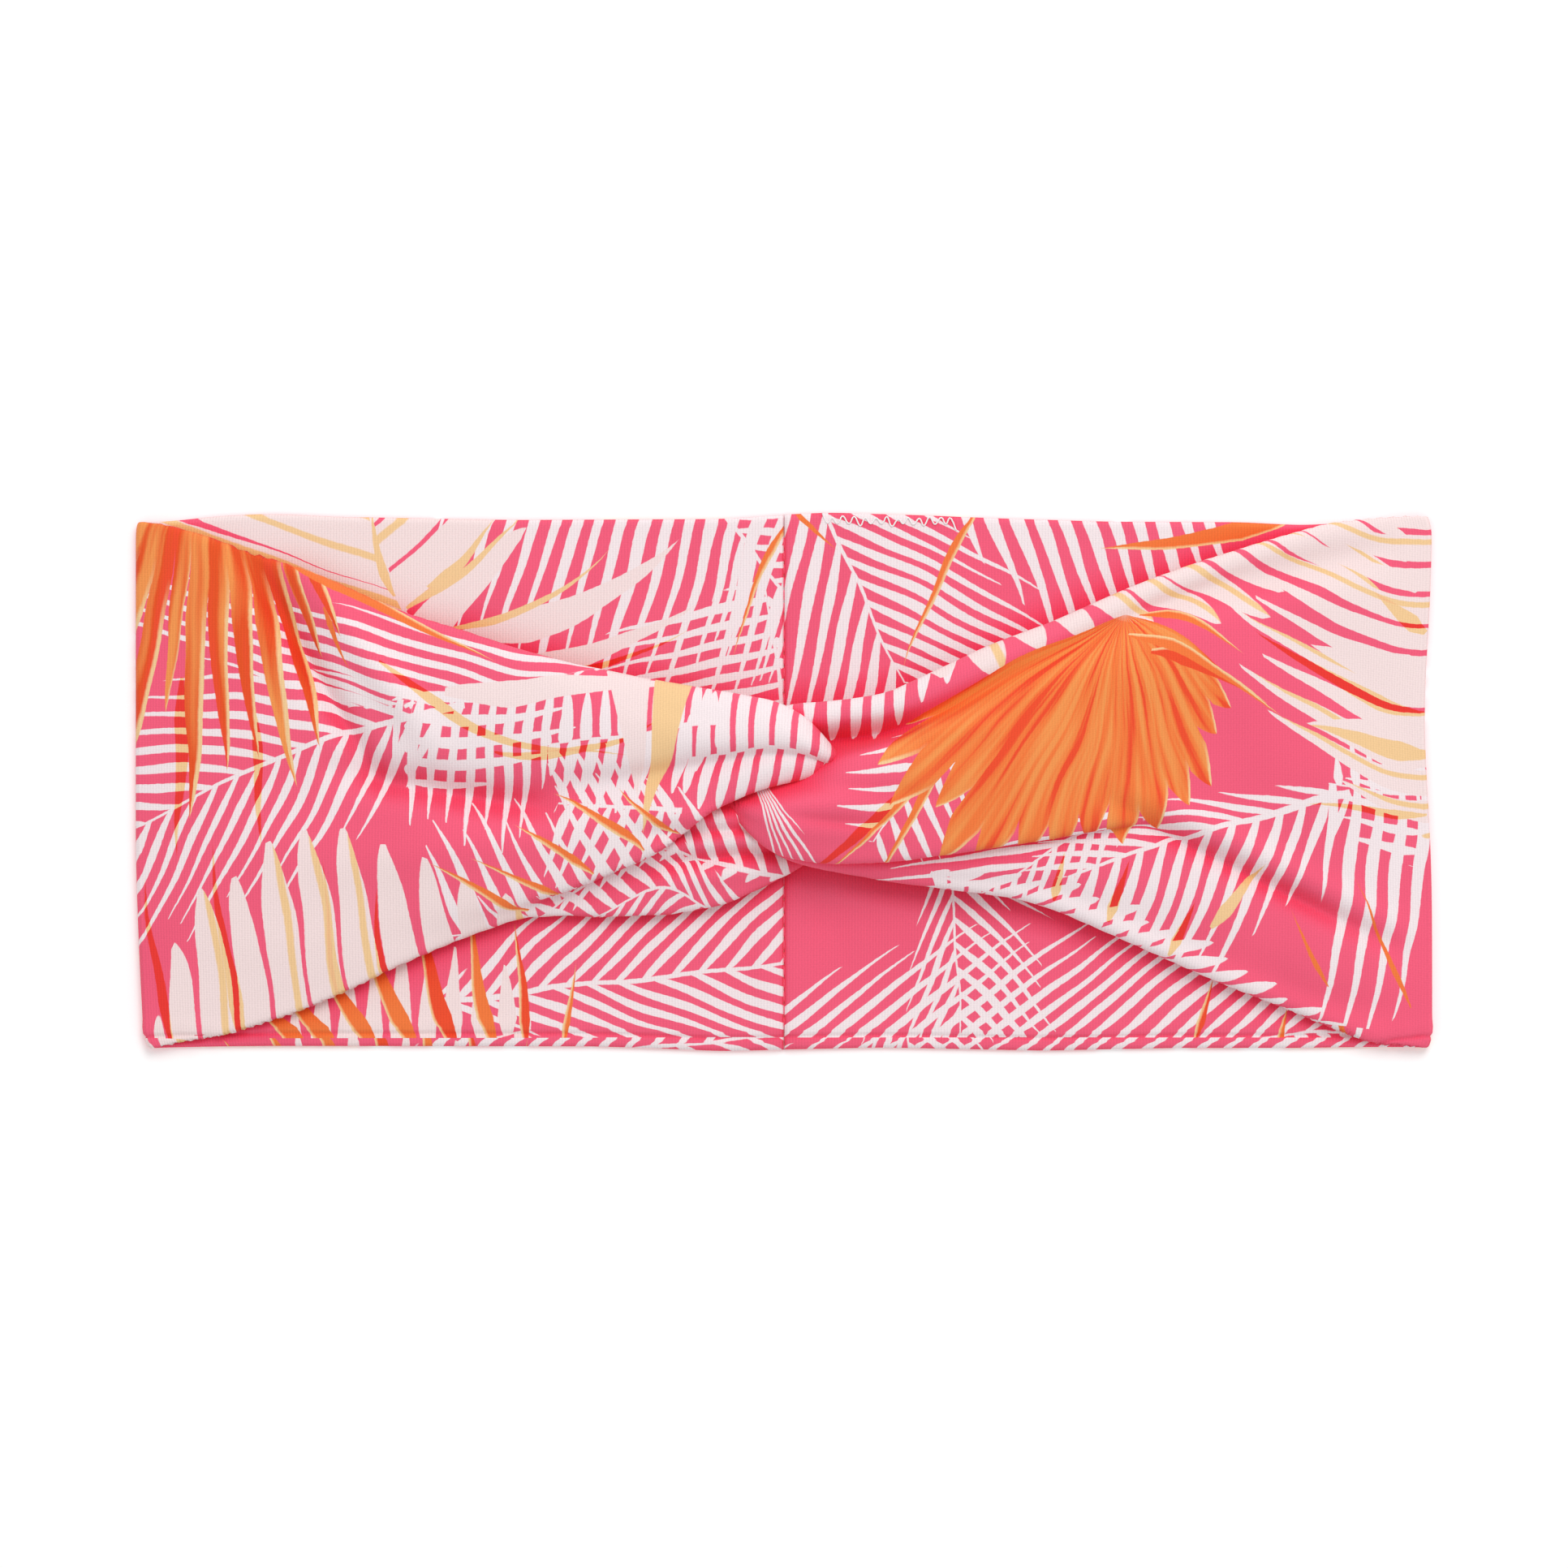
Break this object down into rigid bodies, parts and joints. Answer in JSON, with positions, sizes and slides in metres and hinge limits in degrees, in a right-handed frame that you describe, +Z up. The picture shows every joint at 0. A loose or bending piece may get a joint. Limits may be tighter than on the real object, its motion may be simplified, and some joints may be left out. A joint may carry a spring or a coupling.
{
  "type": "twist-front headband",
  "caption": "Stretch jersey headband with a twisted front, pressed flat, worn round the head to hold hair back.",
  "frame": {"origin": "on the surface the band lies on, under the middle of its outline", "axes": "+X along the band towards its right end, +Y across the band towards its folded top edge, +Z up through its layers"},
  "size_m": [0.24, 0.1, 0.0159],
  "materials": {
    "left_jersey": "matt printed cotton and elastane jersey, pink ground",
    "right_jersey": "matt printed cotton and elastane jersey, pink ground",
    "seam_allowance": "unprinted wrong side of the jersey",
    "seam_thread": "spun polyester thread",
    "closing_thread": "white spun polyester thread"
  },
  "bodies": {
    "root": {"left_back_outer_layer": "left_jersey", "left_back_inner_layer": "left_jersey", "left_front_outer_layer": "left_jersey", "left_front_inner_layer": "left_jersey", "left_twist_fold": "left_jersey", "right_back_outer_layer": "right_jersey", "right_back_inner_layer": "right_jersey", "right_front_outer_layer": "right_jersey", "right_front_inner_layer": "right_jersey", "right_twist_fold": "right_jersey", "twist_seam_allowance": "seam_allowance", "back_seam_allowance_left": "seam_allowance", "back_seam_allowance_right": "seam_allowance", "long_seam_allowance_left": "seam_allowance", "long_seam_allowance_right": "seam_allowance", "twist_seam_thread": "seam_thread", "back_seam_thread": "seam_thread", "long_seam_thread_left": "seam_thread", "long_seam_thread_right": "seam_thread", "closing_stitch_thread": "closing_thread"}
  },
  "joints": []
}
